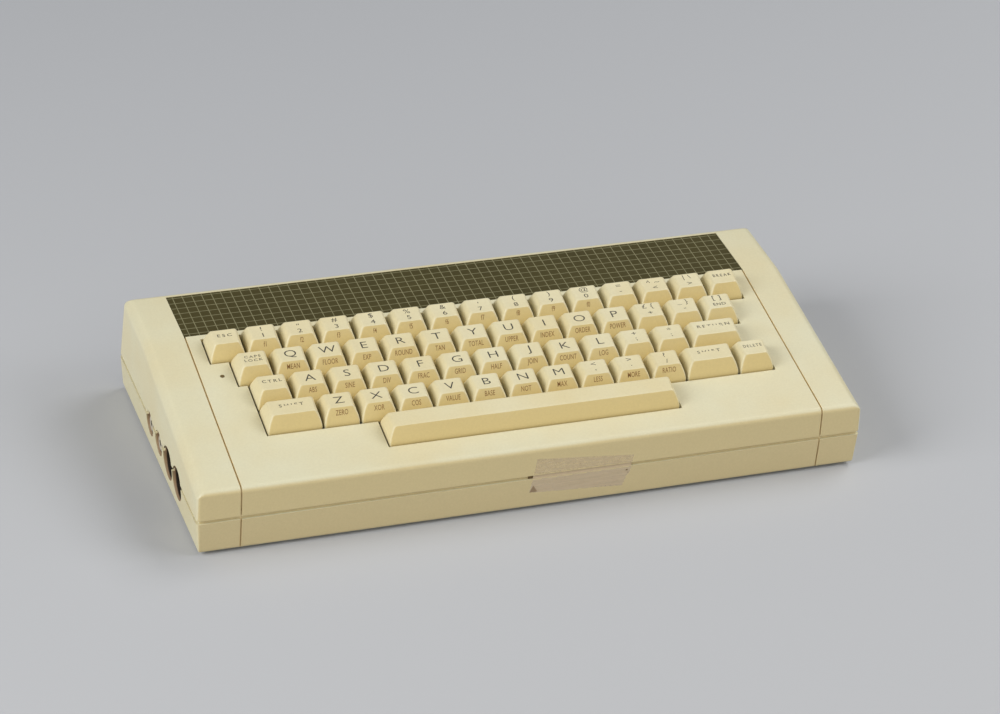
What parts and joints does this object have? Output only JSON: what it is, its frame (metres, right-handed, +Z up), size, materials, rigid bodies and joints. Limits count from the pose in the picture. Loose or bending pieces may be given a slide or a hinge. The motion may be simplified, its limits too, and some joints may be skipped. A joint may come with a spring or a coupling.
{
  "type": "vintage home computer",
  "caption": "Low wedge-shaped cream home computer with a full typewriter keyboard, a dark grid strip behind the keys and sockets in its left side.",
  "frame": {"origin": "on the table under the middle of the case", "axes": "+X to the right of someone typing, +Y to the back, +Z up"},
  "size_m": [0.345, 0.162, 0.0617],
  "materials": {
    "case_plastic": "fine moulded texture, slightly yellowed",
    "key_plastic": "satin, yellowed on the fronts",
    "grid_panel": "satin printed film, thin light grid",
    "plate_steel": "plain pressed sheet",
    "circuit_board": "solder mask",
    "black_plastic": "moulded",
    "spring_steel": "bright wire",
    "lamp": "clear tinted lens, unlit",
    "ribbon": "flat cable",
    "socket_metal": "tinned steel",
    "socket_plastic": "dark moulding",
    "aluminium": "extruded",
    "capacitor_sleeve": "shrink sleeve",
    "screw_steel": "plated",
    "rubber": "soft"
  },
  "bodies": {
    "case": {"upper_case": "case_plastic", "lower_case": "case_plastic", "grid_panel": "grid_panel", "keyboard_plate": "plate_steel", "keyboard_board": "circuit_board", "switch_housings": "black_plastic", "key_springs": "spring_steel", "caps_lock_lamp": "lamp", "ribbon_cable": "ribbon", "main_board": "circuit_board", "logic_array": "black_plastic", "board_chips": "black_plastic", "rf_modulator": "socket_metal", "video_socket": "socket_metal", "din_sockets": "socket_plastic", "power_jack": "black_plastic", "heat_sink": "aluminium", "capacitors": "capacitor_sleeve", "loudspeaker": "black_plastic", "screws_and_inserts": "screw_steel", "rubber_feet": "rubber"},
    "levelling_wire": {"space_bar_wire": "spring_steel"},
    "key_escape": {"key_escape": "key_plastic"},
    "key_break": {"key_break": "key_plastic"},
    "key_caps_lock": {"key_caps_lock": "key_plastic"},
    "key_q": {"key_q": "key_plastic"},
    "key_w": {"key_w": "key_plastic"},
    "key_e": {"key_e": "key_plastic"},
    "key_r": {"key_r": "key_plastic"},
    "key_t": {"key_t": "key_plastic"},
    "key_y": {"key_y": "key_plastic"},
    "key_u": {"key_u": "key_plastic"},
    "key_i": {"key_i": "key_plastic"},
    "key_o": {"key_o": "key_plastic"},
    "key_p": {"key_p": "key_plastic"},
    "key_copy": {"key_copy": "key_plastic"},
    "key_control": {"key_control": "key_plastic"},
    "key_a": {"key_a": "key_plastic"},
    "key_s": {"key_s": "key_plastic"},
    "key_d": {"key_d": "key_plastic"},
    "key_f": {"key_f": "key_plastic"},
    "key_g": {"key_g": "key_plastic"},
    "key_h": {"key_h": "key_plastic"},
    "key_j": {"key_j": "key_plastic"},
    "key_k": {"key_k": "key_plastic"},
    "key_l": {"key_l": "key_plastic"},
    "key_return": {"key_return": "key_plastic"},
    "key_shift_left": {"key_shift_left": "key_plastic"},
    "key_z": {"key_z": "key_plastic"},
    "key_x": {"key_x": "key_plastic"},
    "key_c": {"key_c": "key_plastic"},
    "key_v": {"key_v": "key_plastic"},
    "key_b": {"key_b": "key_plastic"},
    "key_n": {"key_n": "key_plastic"},
    "key_m": {"key_m": "key_plastic"},
    "key_shift_right": {"key_shift_right": "key_plastic"},
    "key_delete": {"key_delete": "key_plastic"},
    "key_space": {"key_space": "key_plastic"},
    "number_keys": {"number_keys": "key_plastic"},
    "symbol_keys": {"symbol_keys": "key_plastic"}
  },
  "joints": [
    {"name": "key_escape_press", "type": "slide", "parent": "case", "child": "key_escape", "axis": [0, 0.1616, -0.9869], "range_m": [0, 0.0038], "stiffness_N_per_m": 80, "springref_m": -0.003, "deforming": ["key_springs"]},
    {"name": "key_break_press", "type": "slide", "parent": "case", "child": "key_break", "axis": [0, 0.1616, -0.9869], "range_m": [0, 0.0038], "stiffness_N_per_m": 80, "springref_m": -0.003, "deforming": ["key_springs"]},
    {"name": "key_caps_lock_press", "type": "slide", "parent": "case", "child": "key_caps_lock", "axis": [0, 0.1616, -0.9869], "range_m": [0, 0.0038], "stiffness_N_per_m": 80, "springref_m": -0.003, "deforming": ["key_springs"]},
    {"name": "key_q_press", "type": "slide", "parent": "case", "child": "key_q", "axis": [0, 0.1616, -0.9869], "range_m": [0, 0.0038], "stiffness_N_per_m": 80, "springref_m": -0.003, "deforming": ["key_springs"]},
    {"name": "key_w_press", "type": "slide", "parent": "case", "child": "key_w", "axis": [0, 0.1616, -0.9869], "range_m": [0, 0.0038], "stiffness_N_per_m": 80, "springref_m": -0.003, "deforming": ["key_springs"]},
    {"name": "key_e_press", "type": "slide", "parent": "case", "child": "key_e", "axis": [0, 0.1616, -0.9869], "range_m": [0, 0.0038], "stiffness_N_per_m": 80, "springref_m": -0.003, "deforming": ["key_springs"]},
    {"name": "key_r_press", "type": "slide", "parent": "case", "child": "key_r", "axis": [0, 0.1616, -0.9869], "range_m": [0, 0.0038], "stiffness_N_per_m": 80, "springref_m": -0.003, "deforming": ["key_springs"]},
    {"name": "key_t_press", "type": "slide", "parent": "case", "child": "key_t", "axis": [0, 0.1616, -0.9869], "range_m": [0, 0.0038], "stiffness_N_per_m": 80, "springref_m": -0.003, "deforming": ["key_springs"]},
    {"name": "key_y_press", "type": "slide", "parent": "case", "child": "key_y", "axis": [0, 0.1616, -0.9869], "range_m": [0, 0.0038], "stiffness_N_per_m": 80, "springref_m": -0.003, "deforming": ["key_springs"]},
    {"name": "key_u_press", "type": "slide", "parent": "case", "child": "key_u", "axis": [0, 0.1616, -0.9869], "range_m": [0, 0.0038], "stiffness_N_per_m": 80, "springref_m": -0.003, "deforming": ["key_springs"]},
    {"name": "key_i_press", "type": "slide", "parent": "case", "child": "key_i", "axis": [0, 0.1616, -0.9869], "range_m": [0, 0.0038], "stiffness_N_per_m": 80, "springref_m": -0.003, "deforming": ["key_springs"]},
    {"name": "key_o_press", "type": "slide", "parent": "case", "child": "key_o", "axis": [0, 0.1616, -0.9869], "range_m": [0, 0.0038], "stiffness_N_per_m": 80, "springref_m": -0.003, "deforming": ["key_springs"]},
    {"name": "key_p_press", "type": "slide", "parent": "case", "child": "key_p", "axis": [0, 0.1616, -0.9869], "range_m": [0, 0.0038], "stiffness_N_per_m": 80, "springref_m": -0.003, "deforming": ["key_springs"]},
    {"name": "key_copy_press", "type": "slide", "parent": "case", "child": "key_copy", "axis": [0, 0.1616, -0.9869], "range_m": [0, 0.0038], "stiffness_N_per_m": 80, "springref_m": -0.003, "deforming": ["key_springs"]},
    {"name": "key_control_press", "type": "slide", "parent": "case", "child": "key_control", "axis": [0, 0.1616, -0.9869], "range_m": [0, 0.0038], "stiffness_N_per_m": 80, "springref_m": -0.003, "deforming": ["key_springs"]},
    {"name": "key_a_press", "type": "slide", "parent": "case", "child": "key_a", "axis": [0, 0.1616, -0.9869], "range_m": [0, 0.0038], "stiffness_N_per_m": 80, "springref_m": -0.003, "deforming": ["key_springs"]},
    {"name": "key_s_press", "type": "slide", "parent": "case", "child": "key_s", "axis": [0, 0.1616, -0.9869], "range_m": [0, 0.0038], "stiffness_N_per_m": 80, "springref_m": -0.003, "deforming": ["key_springs"]},
    {"name": "key_d_press", "type": "slide", "parent": "case", "child": "key_d", "axis": [0, 0.1616, -0.9869], "range_m": [0, 0.0038], "stiffness_N_per_m": 80, "springref_m": -0.003, "deforming": ["key_springs"]},
    {"name": "key_f_press", "type": "slide", "parent": "case", "child": "key_f", "axis": [0, 0.1616, -0.9869], "range_m": [0, 0.0038], "stiffness_N_per_m": 80, "springref_m": -0.003, "deforming": ["key_springs"]},
    {"name": "key_g_press", "type": "slide", "parent": "case", "child": "key_g", "axis": [0, 0.1616, -0.9869], "range_m": [0, 0.0038], "stiffness_N_per_m": 80, "springref_m": -0.003, "deforming": ["key_springs"]},
    {"name": "key_h_press", "type": "slide", "parent": "case", "child": "key_h", "axis": [0, 0.1616, -0.9869], "range_m": [0, 0.0038], "stiffness_N_per_m": 80, "springref_m": -0.003, "deforming": ["key_springs"]},
    {"name": "key_j_press", "type": "slide", "parent": "case", "child": "key_j", "axis": [0, 0.1616, -0.9869], "range_m": [0, 0.0038], "stiffness_N_per_m": 80, "springref_m": -0.003, "deforming": ["key_springs"]},
    {"name": "key_k_press", "type": "slide", "parent": "case", "child": "key_k", "axis": [0, 0.1616, -0.9869], "range_m": [0, 0.0038], "stiffness_N_per_m": 80, "springref_m": -0.003, "deforming": ["key_springs"]},
    {"name": "key_l_press", "type": "slide", "parent": "case", "child": "key_l", "axis": [0, 0.1616, -0.9869], "range_m": [0, 0.0038], "stiffness_N_per_m": 80, "springref_m": -0.003, "deforming": ["key_springs"]},
    {"name": "key_return_press", "type": "slide", "parent": "case", "child": "key_return", "axis": [0, 0.1616, -0.9869], "range_m": [0, 0.0038], "stiffness_N_per_m": 80, "springref_m": -0.003, "deforming": ["key_springs"]},
    {"name": "key_shift_left_press", "type": "slide", "parent": "case", "child": "key_shift_left", "axis": [0, 0.1616, -0.9869], "range_m": [0, 0.0038], "stiffness_N_per_m": 80, "springref_m": -0.003, "deforming": ["key_springs"]},
    {"name": "key_z_press", "type": "slide", "parent": "case", "child": "key_z", "axis": [0, 0.1616, -0.9869], "range_m": [0, 0.0038], "stiffness_N_per_m": 80, "springref_m": -0.003, "deforming": ["key_springs"]},
    {"name": "key_x_press", "type": "slide", "parent": "case", "child": "key_x", "axis": [0, 0.1616, -0.9869], "range_m": [0, 0.0038], "stiffness_N_per_m": 80, "springref_m": -0.003, "deforming": ["key_springs"]},
    {"name": "key_c_press", "type": "slide", "parent": "case", "child": "key_c", "axis": [0, 0.1616, -0.9869], "range_m": [0, 0.0038], "stiffness_N_per_m": 80, "springref_m": -0.003, "deforming": ["key_springs"]},
    {"name": "key_v_press", "type": "slide", "parent": "case", "child": "key_v", "axis": [0, 0.1616, -0.9869], "range_m": [0, 0.0038], "stiffness_N_per_m": 80, "springref_m": -0.003, "deforming": ["key_springs"]},
    {"name": "key_b_press", "type": "slide", "parent": "case", "child": "key_b", "axis": [0, 0.1616, -0.9869], "range_m": [0, 0.0038], "stiffness_N_per_m": 80, "springref_m": -0.003, "deforming": ["key_springs"]},
    {"name": "key_n_press", "type": "slide", "parent": "case", "child": "key_n", "axis": [0, 0.1616, -0.9869], "range_m": [0, 0.0038], "stiffness_N_per_m": 80, "springref_m": -0.003, "deforming": ["key_springs"]},
    {"name": "key_m_press", "type": "slide", "parent": "case", "child": "key_m", "axis": [0, 0.1616, -0.9869], "range_m": [0, 0.0038], "stiffness_N_per_m": 80, "springref_m": -0.003, "deforming": ["key_springs"]},
    {"name": "key_shift_right_press", "type": "slide", "parent": "case", "child": "key_shift_right", "axis": [0, 0.1616, -0.9869], "range_m": [0, 0.0038], "stiffness_N_per_m": 80, "springref_m": -0.003, "deforming": ["key_springs"]},
    {"name": "key_delete_press", "type": "slide", "parent": "case", "child": "key_delete", "axis": [0, 0.1616, -0.9869], "range_m": [0, 0.0038], "stiffness_N_per_m": 80, "springref_m": -0.003, "deforming": ["key_springs"]},
    {"name": "key_space_press", "type": "slide", "parent": "case", "child": "key_space", "axis": [0, 0.1616, -0.9869], "range_m": [0, 0.0038], "stiffness_N_per_m": 80, "springref_m": -0.003, "deforming": ["key_springs"]},
    {"name": "number_keys_press", "type": "slide", "parent": "case", "child": "number_keys", "axis": [0, 0.1616, -0.9869], "range_m": [0, 0.0038], "stiffness_N_per_m": 800, "springref_m": -0.003, "deforming": ["key_springs"]},
    {"name": "symbol_keys_press", "type": "slide", "parent": "case", "child": "symbol_keys", "axis": [0, 0.1616, -0.9869], "range_m": [0, 0.0038], "stiffness_N_per_m": 800, "springref_m": -0.003, "deforming": ["key_springs"]},
    {"name": "levelling_wire_turn", "type": "hinge", "parent": "case", "child": "levelling_wire", "pos_m": [0.00381, -0.04988, 0.03866], "axis": [1, 0, 0], "range_deg": [0, 25.93]}
  ],
  "couplings": [
    {"joint": "levelling_wire_turn", "follows": "key_space_press", "rad_per_m": 118.63}
  ]
}
